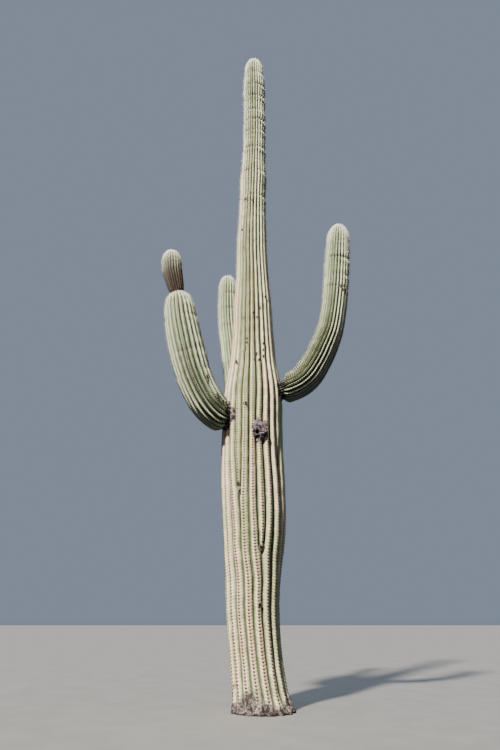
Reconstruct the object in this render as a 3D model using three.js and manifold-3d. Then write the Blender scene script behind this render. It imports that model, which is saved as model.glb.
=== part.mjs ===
// A saguaro cactus with three arms, in millimetres, +Z up. The origin is the middle of the flat cut
// at ground level. A viewer at the front looks along +Y and has +X on the right.
// Every limb is a fluted column: ribs run along it, fork as it widens, and close over a domed tip.

import * as THREE from "three";
import { mergeVertices } from "three/addons/utils/BufferGeometryUtils.js";
import Module from "manifold-3d";

const wasm = await Module();
wasm.setup();

// Driving dimensions
const HEIGHT = 7600;
const SEAT_GAP = 0.5; // clearance kept where one solid is seated on another
const WELD = 0.01; // corners nearer than this are one corner

// Sections
const POINTS_PER_RIB = 3; // two edges of the flat crest and the bottom of the groove
const CREST_FLATNESS = 1.25; // power of the groove's cosine: above 1 the crest is broad
const DEEPEST_GROOVE = 0.3; // share of the limb's radius that a groove may take
const CLOSING_STEPS = 4; // sections over a dome or a shoulder
const LAST_SECTION = 0.94; // how far up the dome's arc the last section lies

// Trunk: [height, radius over the crests] and [height, sideways place of the axis]
const TRUNK_RADII = [
  [0, 282], [110, 250], [350, 234], [700, 238], [1100, 256], [1450, 290], [1850, 308], [2350, 302],
  [2750, 300], [2950, 284], [3180, 246], [3500, 219], [3900, 203], [4250, 179], [4800, 165], [5150, 151],
  [5330, 148], [5540, 152], [5900, 134], [6500, 124], [7300, 120],
];
const TRUNK_LEAN = [
  [0, 0], [350, -50], [800, -86], [1240, -76], [1500, -70], [1900, -80], [2300, -88], [3000, -80],
  [3400, -80], [4200, -84], [4700, -90], [5600, -70], [6300, -55], [7600, -60],
];
const TRUNK_DOME = 300;
const TRUNK_RINGS = 34;
const TRUNK_GROOVE = [[0, 18], [500, 26], [1500, 40], [2600, 42], [3600, 36], [5000, 27], [7600, 20]];

// Trunk ribs: the crest of rib 0 as an azimuth in degrees, and the forks as [rib, height]
const TRUNK_RIBS = {
  count: 17,
  first: 286,
  opening: 260,
  forks: [[0, 1350], [2, 2130], [5, 1560], [7, 1880], [10, 1420], [12, 1700], [15, 1880]],
};

// Arms. path: [distance from the trunk's axis, height]; radii and groove: [length along the arm, size];
// stretches: [name, length along the arm where it ends, even steps, length that closes up at its end]
const ARM_AXIS_X = -88; // where the trunk's axis stands at the height of the arms
const ARM_FORKS = [[1, 620], [3, 820], [6, 700], [8, 560], [10, 780], [12, 660]];
const ARMS = {
  left_arm: {
    azimuth: 205,
    path: [
      [170, 2578], [290, 2586], [385, 2618], [486, 2704], [568, 2825], [646, 2990], [708, 3180], [760, 3380],
      [800, 3560], [830, 3740], [862, 3870], [895, 3995], [920, 4110], [938, 4345],
    ],
    radii: [
      [0, 108], [110, 112], [165, 140], [225, 165], [350, 175], [700, 177], [900, 177], [1090, 174],
      [1270, 165], [1400, 156], [1470, 143], [1530, 118], [1575, 84], [1600, 74], [1650, 84], [1730, 96],
      [1850, 104], [2072, 106],
    ],
    groove: [[0, 14], [200, 24], [600, 32], [1400, 26], [1590, 8], [1700, 13], [2072, 13]],
    dome: 165,
    stretches: [["lower", 640, 10, 0], ["upper", 1592, 8, 200], ["head", undefined, 5, 165]],
    ribs: { count: 15, first: 12, opening: 200, forks: ARM_FORKS },
  },
  right_arm: {
    azimuth: 352,
    path: [
      [170, 2885], [300, 2895], [400, 2928], [490, 2972], [575, 3048], [678, 3205], [760, 3375], [818, 3515],
      [860, 3690], [900, 3940], [945, 4367], [990, 4851],
    ],
    radii: [
      [0, 84], [120, 88], [165, 104], [215, 140], [330, 150], [460, 153], [640, 149], [830, 144], [980, 139],
      [1160, 135], [1400, 134], [1850, 135], [2327, 132],
    ],
    groove: [[0, 10], [200, 20], [600, 28], [2327, 21]],
    dome: 190,
    stretches: [["lower", 640, 10, 0], ["upper", undefined, 9, 190]],
    ribs: { count: 14, first: 4, opening: 200, forks: ARM_FORKS },
  },
  rear_arm: {
    azimuth: 116,
    path: [
      [170, 2930], [280, 2925], [360, 2965], [415, 3060], [458, 3222], [516, 3451], [575, 3700], [632, 3946],
      [660, 4190], [668, 4641],
    ],
    radii: [[0, 74], [105, 76], [150, 92], [210, 108], [320, 113], [720, 111], [970, 113], [1918, 118]],
    groove: [[0, 10], [200, 17], [600, 25], [1918, 20]],
    dome: 160,
    stretches: [["lower", 480, 8, 0], ["upper", undefined, 8, 160]],
    ribs: { count: 14, first: 9, opening: 200, forks: ARM_FORKS },
  },
};

// The old wound on the front of the trunk: a lump of dead tissue where an arm bud was lost
const SCAR = { azimuth: 284, height: 2410, width: 150, tall: 200, proud: 34, sunk: 60, segments: 18 };

// Colours as sRGB, with roughness
const SKIN = {
  trunk: [0xb7ad8c, 0.85],
  arm: [0x98a07c, 0.8],
  head: [0x85896a, 0.85],
  scar: [0x4b4140, 0.95],
};

// A smooth function through [position, value] pairs: a cubic with the slope of its neighbours at each pair
function smoothThrough(pairs) {
  const slope = pairs.map((p, i) => {
    const a = pairs[Math.max(i - 1, 0)];
    const b = pairs[Math.min(i + 1, pairs.length - 1)];
    return (b[1] - a[1]) / (b[0] - a[0]);
  });
  return (x) => {
    const last = pairs.length - 1;
    if (x <= pairs[0][0]) return pairs[0][1];
    if (x >= pairs[last][0]) return pairs[last][1];
    const i = pairs.findIndex((p) => p[0] > x) - 1;
    const span = pairs[i + 1][0] - pairs[i][0];
    const t = (x - pairs[i][0]) / span;
    const t2 = t * t;
    const t3 = t2 * t;
    return (
      (2 * t3 - 3 * t2 + 1) * pairs[i][1] +
      (t3 - 2 * t2 + t) * span * slope[i] +
      (3 * t2 - 2 * t3) * pairs[i + 1][1] +
      (t3 - t2) * span * slope[i + 1]
    );
  };
}

// The gaps between crests, in order round the limb, as functions of the length along it.
// A fork is a gap that is closed below its place and opens above it.
function ribGaps({ count, first, opening, forks }) {
  const births = [];
  for (let rib = 0; rib < count; rib += 1) {
    const fork = forks.find(([of]) => of === rib);
    if (fork) births.push(fork[1]);
    births.push(-Infinity);
  }
  const share = (birth, along) => {
    if (birth === -Infinity) return 1;
    const grown = THREE.MathUtils.clamp((along - birth) / opening, 0, 1);
    return Math.sin((grown * Math.PI) / 2);
  };
  const laidOut = (along) => {
    const shares = births.map((birth) => share(birth, along));
    const whole = shares.reduce((a, b) => a + b, 0);
    let angle = 0;
    return shares.map((part) => {
      const width = (part / whole) * 2 * Math.PI;
      const gap = { start: angle, width, full: width / ((2 * Math.PI) / births.length) };
      angle += width;
      return gap;
    });
  };
  const atBase = laidOut(-Infinity);
  const firstAngle = THREE.MathUtils.degToRad(first);
  return (along) => {
    const gaps = laidOut(along);
    const drift = gaps.reduce((sum, gap, i) => sum + gap.start - atBase[i].start, 0) / gaps.length;
    return gaps.map((gap) => ({ ...gap, start: gap.start + firstAngle - drift }));
  };
}

// How far the skin lies below the crests across one gap: 0 at a crest, 1 in the groove
const grooveShape = (t) => 1 - Math.abs(Math.cos(Math.PI * t)) ** CREST_FLATNESS;

// The closed surface of a fluted limb. frameAt(along) gives the section's centre and its two axes;
// the sections are at the given lengths, and the last one closes to a point at the length named top.
function flutedLimb({ frameAt, radiusAt, grooveAt, gapsAt, sections, top, grow = 0 }) {
  const rings = sections.map((along) => {
    const { centre, across, beside } = frameAt(along);
    const radius = radiusAt(along) + grow;
    const depth = Math.min(grooveAt(along), DEEPEST_GROOVE * radius);
    const ring = [];
    for (const gap of gapsAt(along)) {
      for (let k = 0; k < POINTS_PER_RIB; k += 1) {
        const t = (k + 0.5) / POINTS_PER_RIB;
        const angle = gap.start + t * gap.width;
        const r = radius - depth * Math.min(1, gap.full) * grooveShape(t);
        const outwards = across.clone().multiplyScalar(Math.cos(angle));
        outwards.addScaledVector(beside, Math.sin(angle));
        ring.push(centre.clone().addScaledVector(outwards, r));
      }
    }
    return ring;
  });
  const positions = [];
  const face = (...corners) => corners.forEach((c) => positions.push(c.x, c.y, c.z));
  for (let k = 0; k + 1 < rings.length; k += 1) {
    rings[k].forEach((_, j) => {
      const next = (j + 1) % rings[k].length;
      face(rings[k][j], rings[k][next], rings[k + 1][next]);
      face(rings[k][j], rings[k + 1][next], rings[k + 1][j]);
    });
  }
  const foot = frameAt(sections[0]).centre;
  const tip = frameAt(top).centre;
  rings[0].forEach((corner, j) => face(foot, rings[0][(j + 1) % rings[0].length], corner));
  rings.at(-1).forEach((corner, j) => face(corner, rings.at(-1)[(j + 1) % rings[0].length], tip));
  return solidFrom(positions);
}

// A manifold-3d solid from loose triangles: corners are merged, and triangles that close up are dropped
function solidFrom(positions) {
  const loose = new THREE.BufferGeometry();
  loose.setAttribute("position", new THREE.Float32BufferAttribute(positions, 3));
  const merged = mergeVertices(loose, WELD);
  const corners = merged.index.array;
  const kept = [];
  for (let i = 0; i < corners.length; i += 3) {
    const [a, b, c] = [corners[i], corners[i + 1], corners[i + 2]];
    if (a !== b && b !== c && c !== a) kept.push(a, b, c);
  }
  const vertProperties = merged.attributes.position.array;
  return new wasm.Manifold(new wasm.Mesh({ numProp: 3, vertProperties, triVerts: new Uint32Array(kept) }));
}

// Section places: even steps, then steps that draw together over the stretch that closes up
function sectionPlaces(start, end, closing, steps) {
  const places = [];
  const shoulder = end - closing;
  for (let i = 0; i <= steps; i += 1) places.push(start + ((shoulder - start) * i) / steps);
  for (let i = 1; closing && i <= CLOSING_STEPS; i += 1) {
    places.push(shoulder + closing * Math.sin((LAST_SECTION * i * Math.PI) / 2 / CLOSING_STEPS));
  }
  return places;
}

// The radius along a limb of that length whose last stretch is a dome
function domedRadius(radii, length, dome) {
  const below = smoothThrough(radii);
  return (along) => {
    const up = THREE.MathUtils.clamp((along - (length - dome)) / dome, 0, 1);
    return below(along) * Math.sqrt(Math.max(0, 1 - up * up));
  };
}

function trunkSolid(grow = 0) {
  const lean = smoothThrough(TRUNK_LEAN);
  return flutedLimb({
    frameAt: (z) => ({
      centre: new THREE.Vector3(lean(z), 0, z),
      across: new THREE.Vector3(1, 0, 0),
      beside: new THREE.Vector3(0, 1, 0),
    }),
    radiusAt: domedRadius(TRUNK_RADII, HEIGHT, TRUNK_DOME),
    grooveAt: smoothThrough(TRUNK_GROOVE),
    gapsAt: ribGaps(TRUNK_RIBS),
    sections: sectionPlaces(0, HEIGHT, TRUNK_DOME, TRUNK_RINGS),
    top: HEIGHT,
    grow,
  });
}

// An arm's axis lies in the upright plane at its azimuth; lengths along it are chord lengths of its path
function planarFrame(path, azimuth) {
  const lengths = [0];
  path.slice(1).forEach(([r, z], i) => lengths.push(lengths[i] + Math.hypot(r - path[i][0], z - path[i][1])));
  const outAt = smoothThrough(path.map(([r], i) => [lengths[i], r]));
  const upAt = smoothThrough(path.map(([, z], i) => [lengths[i], z]));
  const a = THREE.MathUtils.degToRad(azimuth);
  const out = new THREE.Vector3(Math.cos(a), Math.sin(a), 0);
  const up = new THREE.Vector3(0, 0, 1);
  const beside = new THREE.Vector3().crossVectors(up, out);
  const axis = new THREE.Vector3(ARM_AXIS_X, 0, 0);
  const point = (along) => axis.clone().addScaledVector(out, outAt(along)).addScaledVector(up, upAt(along));
  const length = lengths.at(-1);
  const frameAt = (along) => {
    const s = THREE.MathUtils.clamp(along, 1, length - 1);
    const heading = point(s + 1).sub(point(s - 1)).normalize();
    return { centre: point(along), across: new THREE.Vector3().crossVectors(beside, heading), beside };
  };
  return { frameAt, length };
}

// The stretches of an arm, as [name, solid]; the last one ends in the domed tip
function armStretches(arm) {
  const { frameAt, length } = planarFrame(arm.path, arm.azimuth);
  const shape = {
    frameAt,
    radiusAt: domedRadius(arm.radii, length, arm.dome),
    grooveAt: smoothThrough(arm.groove),
    gapsAt: ribGaps(arm.ribs),
  };
  let from = 0;
  return arm.stretches.map(([name, to, steps, closing]) => {
    const top = to === undefined ? length : to - SEAT_GAP / 2;
    const sections = sectionPlaces(from, top, closing, steps);
    if (to !== undefined && closing) sections.push(top);
    from = to + SEAT_GAP / 2;
    return [name, flutedLimb({ ...shape, sections, top })];
  });
}

// A low dome of dead tissue: an ellipsoid pushed into the trunk's front
function scarLump() {
  const ball = new THREE.SphereGeometry(1, SCAR.segments, SCAR.segments / 2);
  ball.deleteAttribute("normal");
  ball.deleteAttribute("uv");
  const a = THREE.MathUtils.degToRad(SCAR.azimuth);
  const surface = domedRadius(TRUNK_RADII, HEIGHT, TRUNK_DOME)(SCAR.height);
  const depth = (SCAR.proud + SCAR.sunk) / 2;
  const out = surface + SCAR.proud - depth;
  const x = smoothThrough(TRUNK_LEAN)(SCAR.height) + out * Math.cos(a);
  ball.scale(depth, SCAR.width / 2, SCAR.tall / 2).rotateZ(a).translate(x, out * Math.sin(a), SCAR.height);
  return solidFrom([...ball.toNonIndexed().attributes.position.array]);
}

function toMesh(name, solid, [colour, roughness]) {
  const { vertProperties, triVerts } = solid.getMesh();
  const geometry = new THREE.BufferGeometry();
  geometry.setAttribute("position", new THREE.BufferAttribute(vertProperties, 3));
  geometry.setIndex(new THREE.BufferAttribute(triVerts, 1));
  geometry.computeVertexNormals();
  const material = new THREE.MeshStandardMaterial({ color: colour, roughness, metalness: 0 });
  const mesh = new THREE.Mesh(geometry, material);
  mesh.name = name;
  return mesh;
}

const cactus = new THREE.Group();
cactus.add(toMesh("trunk", trunkSolid(), SKIN.trunk));
const trunkSeat = trunkSolid(SEAT_GAP);

for (const [arm, shape] of Object.entries(ARMS)) {
  for (const [stretch, solid] of armStretches(shape)) {
    const seated = stretch === "lower" ? solid.subtract(trunkSeat) : solid;
    cactus.add(toMesh(`${arm}_${stretch}`, seated, stretch === "head" ? SKIN.head : SKIN.arm));
  }
}

cactus.add(toMesh("trunk_scar", scarLump().subtract(trunkSeat), SKIN.scar));

export default cactus;
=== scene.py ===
"""The looks of a saguaro cactus with three arms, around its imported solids.

Limb tables and the shapes worked out from them are in millimetres, as the plant was measured, and
mesh_piece turns them into metres. Each limb is a fluted skin: ribs run along it, fork as it widens,
and close over a domed tip. Areoles stand in rows on the crests, each with its own spines.
"""

import math
from types import SimpleNamespace

import bpy
import numpy as np
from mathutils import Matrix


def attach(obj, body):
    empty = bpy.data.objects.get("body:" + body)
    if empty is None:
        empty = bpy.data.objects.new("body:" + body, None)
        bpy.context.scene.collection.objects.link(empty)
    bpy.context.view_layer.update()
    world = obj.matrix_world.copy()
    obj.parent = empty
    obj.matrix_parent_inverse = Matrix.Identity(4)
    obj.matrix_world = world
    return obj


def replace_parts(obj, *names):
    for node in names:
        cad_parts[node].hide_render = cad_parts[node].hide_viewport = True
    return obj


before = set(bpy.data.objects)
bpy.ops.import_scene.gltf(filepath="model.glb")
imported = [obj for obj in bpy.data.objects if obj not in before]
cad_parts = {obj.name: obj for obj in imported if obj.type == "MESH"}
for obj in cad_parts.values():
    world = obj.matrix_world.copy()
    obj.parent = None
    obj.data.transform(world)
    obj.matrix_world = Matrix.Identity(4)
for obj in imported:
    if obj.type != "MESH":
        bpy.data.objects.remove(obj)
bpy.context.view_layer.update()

PLANT = bpy.data.collections.new("plant")
bpy.context.scene.collection.children.link(PLANT)

MM = 0.001
TURN = 2 * math.pi
NOISE_VALUES = 4096
HASH_PRIMES = (73856093, 19349663, 83492791)  # they mix a noise cell's three numbers into one

# Photograph and camera, the camera's place in metres
PHOTO_WIDTH, PHOTO_HEIGHT = 500, 750
FOCAL_PIXELS = 600
TILT = math.radians(22)
CAMERA_PLACE = np.array([-0.110, -5.784, 0.743])
SENSOR = 36.0
FLOOR_REACH = 60.0  # metres from the plant to the floor's edges

# What a limb's table may leave out. A limb with no end of its own ends a halo of spines short of its path,
# and the skin of a spiny tip is drawn in for its spines.
SHARED = dict(
    start=0, end=None, path=None, columns=8, births=[], twist=[[0, 0], [1, 0]],
    ring_spacing=[[0, 7], [200, 7], [330, 15], [2300, 15]],
    areole_spacing=[[0, 24], [900, 23], [1800, 20], [2300, 14]],
    joints=[], blush_spots=[], neck=0, spiny_tip=False, rust=0,
)

# Limb tables. Pairs start with the height on the trunk, or with the length along an arm:
# radii over the crests, depth of the groove, sharpness of the ribs, share of young skin, spacing of the
# rings of points, spacing of the areoles, and joints, where a year's growth ends, with how strongly the
# skin is pinched there. births are [rib, where another one is born before it].
# holes are small callused ones: the pixel of the photograph where each shows, and its radius. blush_spots
# are pinkish: the pixel and the reach in pixels.
HEIGHT = 7600
TRUNK = SimpleNamespace(
    name="trunk", seed=1, rib_seed=101, ribs=17,
    first_rib=275,  # degrees
    twist=[[0, 9], [1000, 7], [1350, 0], [HEIGHT, 0]],  # degrees
    opening=800,  # the length over which a newborn rib grows
    births=[[1, 930], [3, 1720], [5, 1085], [8, 1385], [10, 1010], [13, 1270], [16, 1480]],
    lean=[  # the axis's place sideways
        [0, 0], [350, -50], [800, -86], [1240, -76], [1500, -70], [1900, -80], [2300, -88], [3000, -80],
        [3400, -80], [4200, -84], [4700, -90], [5600, -70], [6300, -55], [7600, -60],
    ],
    radii=[
        [0, 282], [110, 250], [350, 234], [700, 238], [1100, 256], [1450, 290], [1850, 308], [2350, 302],
        [2750, 300], [2950, 284], [3180, 246], [3500, 219], [3900, 203], [4250, 179], [4800, 165],
        [5150, 151], [5330, 148], [5540, 152], [5900, 136], [6500, 131], [6900, 133], [7150, 130],
        [7300, 124], [7600, 112],
    ],
    groove=[[0, 24], [500, 36], [1500, 54], [2600, 58], [3600, 50], [4300, 42], [5000, 36], [7600, 24]],
    sharpness=[[0, 0.85], [1500, 0.7], [2900, 0.75], [3500, 0.95], [5200, 0.95], [7600, 0.95]],
    young=[[0, 0], [2200, 0.1], [2700, 0.3], [3400, 0.5], [5200, 0.8], [7600, 1]],
    joints=[
        [5288, 0.8], [5643, 0.6], [6005, 1.1], [6272, 0.8], [6440, 1.3], [6600, 0.6], [6824, 1.4],
        [7020, 1.1], [7235, 0.7],
    ],
    columns=10,
    ring_spacing=[[0, 24], [4700, 24], [5200, 15], [7600, 14]],
    areole_spacing=[[0, 27], [2600, 26], [4500, 23], [7000, 20], [7300, 17], [7600, 11]],
    dome=160,
    end=7528,  # where the skin ends, with its spines above it
    spiny_tip=True,
    holes=[
        (237, 363, 15), (250, 354, 11), (256, 354, 12), (264, 355, 12), (260, 359, 9), (245, 350, 9),
        (246, 404, 13), (236, 483, 11), (240, 490, 17), (260, 604, 13), (261, 547, 17), (244, 199, 13),
        (254, 200, 13), (241, 230, 10), (267, 297, 12), (248, 338, 8), (248, 342, 9), (245, 348, 8),
        (264, 342, 11), (265, 350, 10), (249, 364, 8), (255, 359, 9), (243, 370, 7), (254, 313, 9),
        (256, 317, 7), (242, 317, 7), (260, 308, 11), (245, 313, 7),
    ],
    blush_spots=[
        (229, 431, 5), (225, 438, 4), (255, 440, 3), (259, 452, 3), (260, 462, 2.5), (233, 345, 6),
        (236, 300, 6), (264, 408, 3), (272, 420, 2.5), (225, 470, 4), (226, 500, 4), (252, 520, 3),
        (268, 528, 2.5), (226, 535, 4), (259, 385, 4), (266, 378, 4), (272, 380, 4), (236, 325, 5),
        (234, 365, 5), (252, 445, 4), (228, 560, 5), (240, 575, 4), (265, 445, 3),
    ],
)

# Arms. path is [distance from the trunk's axis, height], and cork_reach is how far the cork round the
# arm's neck spreads on the trunk.
ARM_AXIS = np.array([-88.0, 0, 0])  # where the trunk's axis stands at the height of the arms
NECK_OUT = 120.0  # the length along an arm where it comes out of the trunk
NECK = 1566  # the length along the left arm where its head begins
LEFT_ARM = SimpleNamespace(
    name="left_arm", seed=2, rib_seed=102, ribs=20, first_rib=5, opening=500,
    births=[[10, 400], [12, 650], [14, 500], [16, 850]],
    azimuth=205,
    path=[
        [170, 2578], [290, 2586], [385, 2618], [486, 2704], [568, 2825], [646, 2990], [708, 3180],
        [760, 3380], [800, 3560], [830, 3740], [862, 3870], [895, 3995], [920, 4110], [938, 4345],
    ],
    radii=[
        [0, 108], [110, 112], [156, 118], [172, 138], [192, 156], [236, 167], [350, 175], [700, 177],
        [900, 177], [1090, 174], [1270, 165], [1380, 156], [1446, 143], [1504, 118], [1549, 84], [1574, 74],
    ],
    groove=[[0, 18], [200, 38], [450, 52], [900, 44], [1400, 34], [1564, 10], [1700, 15], [2072, 15]],
    sharpness=[[0, 1.6], [400, 2.4], [750, 1.3], [1100, 0.85], [1600, 0.85]],
    young=[[0, 0], [450, 0.1], [850, 0.5], [1500, 0.75]],
    joints=[[673, 0.35], [891, 0.4], [1260, 0.45], [1424, 0.4]],
    neck=172, cork_reach=116, dome=60, end=NECK + 8,
    holes=[(207, 376, 15), (217, 395, 16), (222, 402, 12)],
)
RIGHT_ARM = SimpleNamespace(
    name="right_arm", seed=3, rib_seed=103, ribs=22, first_rib=4, opening=500,
    births=[[2, 420], [5, 600], [8, 520], [10, 700]],
    azimuth=352,
    path=[
        [170, 2885], [300, 2895], [400, 2928], [490, 2972], [575, 3048], [678, 3205], [760, 3375],
        [818, 3515], [860, 3690], [900, 3940], [945, 4367], [990, 4851],
    ],
    radii=[
        [0, 84], [120, 88], [172, 96], [186, 114], [204, 133], [240, 146], [330, 150], [460, 153],
        [640, 149], [830, 144], [980, 139], [1160, 135], [1400, 134], [1850, 133], [2327, 128],
    ],
    groove=[[0, 14], [200, 34], [400, 46], [1000, 43], [1500, 36], [2327, 26]],
    sharpness=[[0, 1.8], [450, 2.6], [1000, 2.0], [1500, 1.2], [2327, 0.9]],
    young=[[0, 0], [500, 0.05], [1200, 0.4], [1700, 0.8], [2300, 1]],
    joints=[[1485, 0.5], [1634, 0.45], [1843, 0.6], [2050, 0.45], [2190, 0.35]],
    neck=184, cork_reach=108, dome=190, spiny_tip=True,
    holes=[(342.5, 285.5, 15), (346.5, 289, 15), (344, 285.5, 10), (344.5, 289, 11)],
)
REAR_ARM = SimpleNamespace(
    name="rear_arm", seed=4, rib_seed=104, ribs=17, first_rib=9, opening=420,
    births=[[0, 500], [1, 640], [2, 760], [14, 450], [15, 700], [16, 580]],
    azimuth=116,
    path=[
        [170, 2930], [280, 2925], [360, 2965], [415, 3060], [458, 3222], [516, 3451], [575, 3700],
        [632, 3946], [660, 4190], [668, 4641],
    ],
    radii=[
        [0, 74], [105, 76], [145, 84], [160, 98], [185, 108], [320, 113], [720, 111], [970, 113],
        [1918, 114],
    ],
    groove=[[0, 12], [200, 22], [600, 30], [1918, 23]],
    sharpness=[[0, 1.2], [1000, 0.9], [1900, 0.9]],
    young=[[0, 0.2], [600, 0.6], [1400, 0.9], [1900, 1]],
    joints=[[1152, 0.4], [1400, 0.45], [1630, 0.5], [1790, 0.4]],
    neck=155, cork_reach=90, dome=160, spiny_tip=True,
)
ARMS = (LEFT_ARM, RIGHT_ARM, REAR_ARM)
HEAD = SimpleNamespace(
    name="head", seed=5, rib_seed=141, ribs=21, first_rib=5, opening=200, azimuth=LEFT_ARM.azimuth,
    path=LEFT_ARM.path, start=NECK - 40,
    radii=[
        [NECK - 40, 60], [NECK - 10, 66], [NECK + 10, 72], [1650, 86], [1730, 94], [1850, 101], [2072, 102],
    ],
    groove=[[0, 10], [1700, 13], [2072, 11]],
    sharpness=[[0, 0.9], [2000, 0.9]],
    young=[[NECK, 0], [1720, 0.0], [1860, 0.5], [1980, 0.95], [2072, 1]],
    ring_spacing=[[0, 9], [2072, 9]],
    areole_spacing=[[0, 16], [1700, 18], [1900, 15], [2072, 9]],
    dome=165,
    rust=0.8,  # share of rust-coloured spines on old ribs
)

# The old wound on the front of the trunk, and the holes in it, painted black for their shade: [sideways, up,
# radius] from its middle
SCAR = SimpleNamespace(azimuth=284, height=2410, width=150, tall=200, proud=34, sunk=60)
SCAR_HOLES = [[-28, -36, 17], [48, -70, 13]]

# Cork on the trunk, by [x, y, reach] in pixels of the photograph
CORK_SPOTS = [(229, 403, 1.8), (230, 409, 2.4), (230, 415, 2.8), (229, 421, 2.6), (227, 426, 1.8)]

# Ribs and their detail
DEEPEST_GROOVE = 0.33  # share of the limb's radius that a groove may take
FIRST_WIDTH = 0.8  # a newborn rib's width as a share of the others'
SHOWS_AT = (0.38, 0.5)  # the share of its width at which a newborn rib starts to show and stands clear
GIVES = (0.16, 0.14, 0.1)  # the share of its width that each of the nearest ribs gives up to a newborn one
FULL_WIDTH = 0.85  # the share of the mean width from which a rib stands at its full height
SETTLING = 2600  # the length over which all ribs become even again
WANDER = 0.055  # how far a crest strays sideways, as a share of the space between crests
KNOB = 8  # how far a rib's rounded start stands out above an arm's neck
STAGGER = 10  # how much sooner or later than the others a rib starts
SLANT = 34  # how much sooner an arm's ribs start on its underside, and how much later on its top
STAGGER_FADES = (700, 300)  # the lengths along an arm where stagger and slant are gone, and where full
FLATTER_DOME = 0.6  # the share of their depth that the grooves lose at the top of the dome
# Joints. swelling and ledge_highlight are [how far below the joint, how wide]; ledge_highlight is a painted
# highlight on the ledge
JOINT = SimpleNamespace(depth=13, wander=8, stain=0.42, stain_height=95, swelling=[34, 24], ledge_highlight=[21, 11])
RIBS_APART = 997.0  # how far apart the ribs lie in the noise that differs from rib to rib
DOME_RINGS = 16
LAST_SECTION = 0.985  # how far up the dome's arc the last ring lies
# Half the felt's height and width, each on an old rib and on a young one
PAD_SIZE = ((7.8, 5.4), (9.4, 3.4))
HEAD_PAD_SIZE = ((4.6, 4.5), (5.6, 4.0))
AREOLES_FROM = 0.55  # how full a rib is where its first areole stands
TIP_ZONE = (-170, 60)  # where the felt and the spines of the tip begin and are full, from the dome's foot
HOLE_CLEARANCE = 1.4  # how far from a hole the areoles stay, as a share of its radius
CROWDED = 15  # where crests run closer together than this, some areoles are left out
# Numbers and sizes of spines on an old rib, and what a young rib and the tip add to them
RADIAL_SPINES = (4, -2, -1.5)
CENTRAL_SPINES = (0.6, 3.2, 2.4)
LONGEST_SPINE = (14, 9, -2)
STRAW_SHARE = (0.04, 0.5, 0.45)
GREY_SHARE = 0.3
STANDING_LEAN = (3, 38)  # degrees between the outward direction and a spine that stands up
TIP_LEAN = 20  # how much further such a spine may lean at the tip
LOW_LEAN = (50, 82)  # degrees, for a spine that lies low
SPINE_ZONES = (("lower", 0, 2500), ("middle", 2500, 5000), ("upper", 5000, HEIGHT))  # on the trunk
CORKY_FOOT = (300, 30)  # the heights where the cork at the trunk's foot begins and is full
FOOT_CORK = 0.62  # how much of the skin there is cork
BARE_FOOT = 45  # the height of the trunk's woody foot that has no areoles
SPINE_HALO = 22  # how far the skin of a tip stays inside the outline that its spines reach
DRAWN_IN_OVER = 320  # the length below the dome over which the skin draws in for its spines


def smooth_through(pairs):
    """A smooth function through [position, value] pairs: a cubic with its neighbours' slope at each pair."""
    x, y = np.array(pairs, float).T
    before = np.r_[0, np.arange(len(x) - 1)]
    after = np.r_[np.arange(1, len(x)), len(x) - 1]
    slope = (y[after] - y[before]) / (x[after] - x[before])

    def at(s):
        s = np.clip(np.asarray(s, float), x[0], x[-1])
        i = np.clip(np.searchsorted(x, s, side="right") - 1, 0, len(x) - 2)
        span = x[i + 1] - x[i]
        t = (s - x[i]) / span
        a = (2 * t**3 - 3 * t**2 + 1) * y[i] + (t**3 - 2 * t**2 + t) * span * slope[i]
        b = (3 * t**2 - 2 * t**3) * y[i + 1] + (t**3 - t**2) * span * slope[i + 1]
        return a + b

    return at


def smooth_step(low, high, x):
    t = np.clip((x - low) / (high - low), 0, 1)
    return t * t * (3 - 2 * t)


def bell(x, width):
    return np.exp(-((x / width) ** 2))


def circle(sides):
    """Cosines and sines of even steps round a circle."""
    turn = np.arange(sides) / sides * TURN
    return np.cos(turn), np.sin(turn)


def normalized(v):
    return v / np.maximum(np.linalg.norm(v, axis=-1, keepdims=True), 1e-12)


def noise(points, size, seed):
    """Smooth noise from -1 to 1 at the points, with lumps of about that size."""
    table = np.random.default_rng(seed).uniform(-1, 1, NOISE_VALUES)
    place = np.asarray(points, float) / size
    cell = np.floor(place).astype(np.int64)
    share = place - cell
    share = share * share * (3 - 2 * share)
    total = np.zeros(place.shape[:-1])
    for corner in range(8):
        step = np.array([corner & 1, corner >> 1 & 1, corner >> 2 & 1])
        mixed = np.bitwise_xor.reduce((cell + step) * HASH_PRIMES, axis=-1)
        weight = np.where(step, share, 1 - share).prod(-1)
        total += table[mixed % NOISE_VALUES] * weight
    return total


def layered(points, layers):
    """The sum of noises given as [height, size, seed]."""
    return sum(height * noise(points, size, seed) for height, size, seed in layers)


def ridged(points, size, seed):
    """Noise with sharp ridges, from about 0 in the folds to 1 on the ridges."""
    return 1 - np.abs(noise(points, size, seed) + 0.5 * noise(points, size / 2.3, seed + 1)) / 1.2


def rib_spots(along, rib):
    """Places for noise that runs along each rib and differs from rib to rib."""
    return np.stack(np.broadcast_arrays(along, RIBS_APART * rib, 0.0), -1)


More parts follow.
